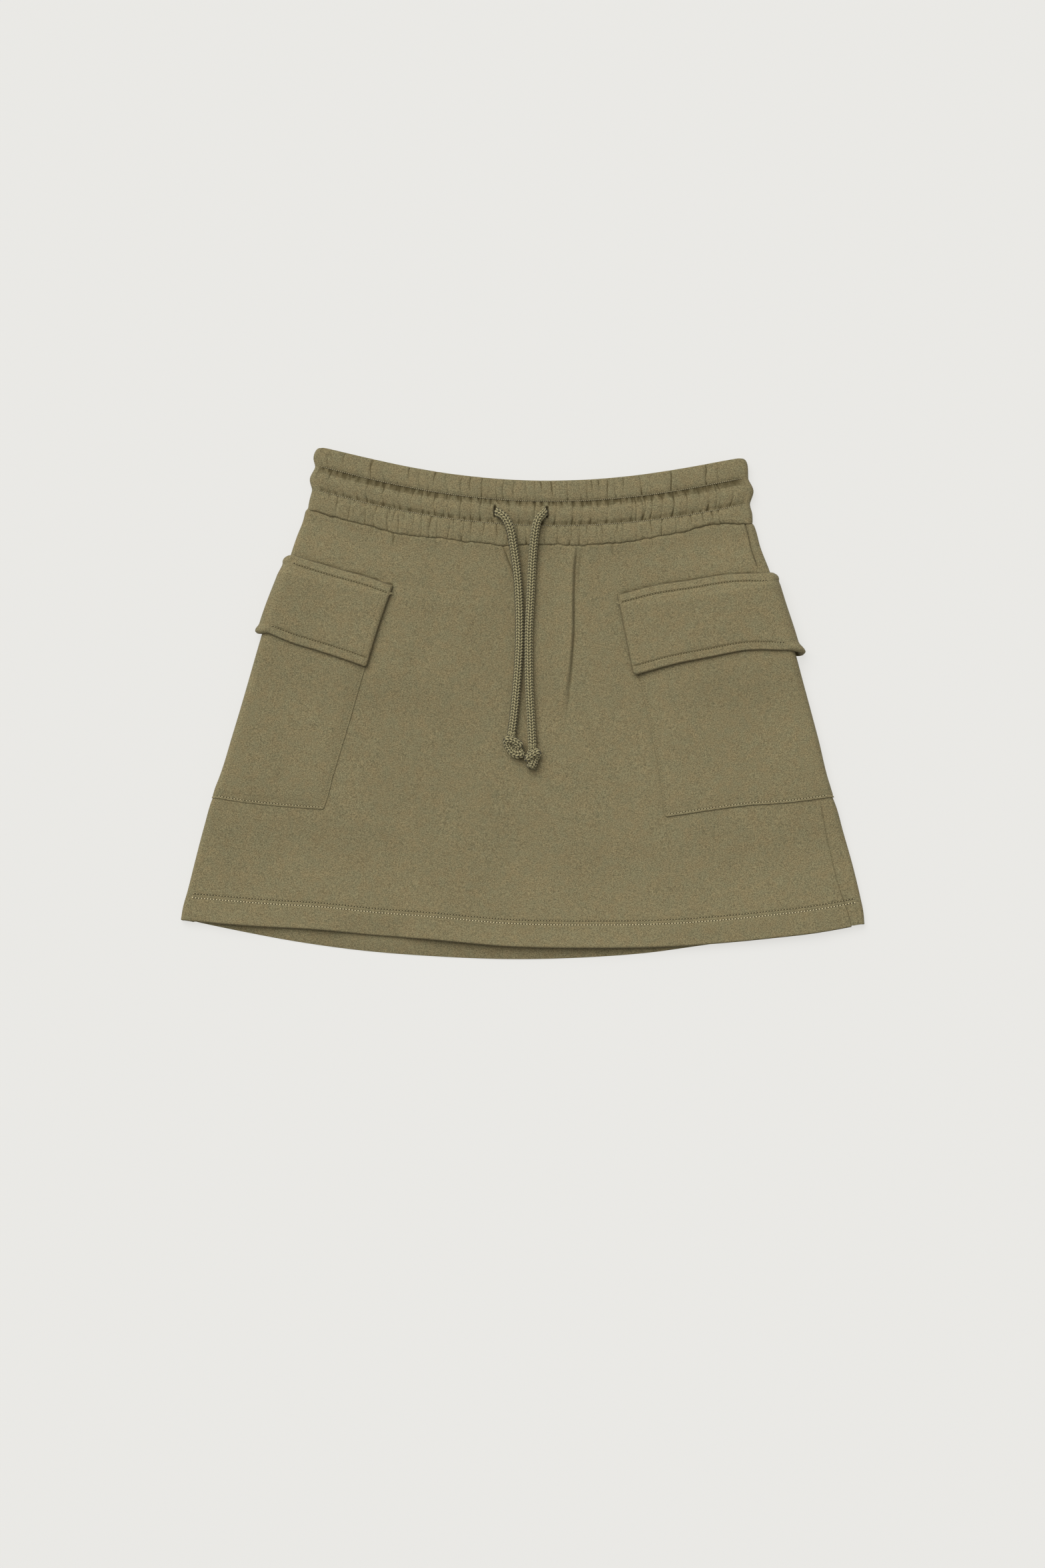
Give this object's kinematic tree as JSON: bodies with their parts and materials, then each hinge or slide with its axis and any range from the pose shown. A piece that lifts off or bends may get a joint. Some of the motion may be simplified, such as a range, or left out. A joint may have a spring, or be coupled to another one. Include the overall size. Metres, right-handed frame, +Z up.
{
  "type": "cargo utility skirt",
  "caption": "Short A-line sweatshirt skirt laid flat, with a gathered elastic waistband, a drawcord and flapped side pockets.",
  "frame": {"origin": "under the middle of the laid-out skirt, on the surface it lies on", "axes": "+X across the skirt to the right of its front as seen, +Y up towards the waist, +Z up from the surface, out of its front"},
  "size_m": [0.543, 0.4083, 0.0174],
  "materials": {
    "sweatshirt_cloth": "matt olive cotton knit",
    "cord_braid": "olive braided cotton"
  },
  "bodies": {
    "root": {"front_panel": "sweatshirt_cloth", "back_panel": "sweatshirt_cloth", "waistband": "sweatshirt_cloth", "pocket_left": "sweatshirt_cloth", "pocket_right": "sweatshirt_cloth", "flap_left": "sweatshirt_cloth", "flap_right": "sweatshirt_cloth", "drawcord_left": "cord_braid", "drawcord_right": "cord_braid", "knot_left": "cord_braid", "knot_right": "cord_braid"}
  },
  "joints": []
}
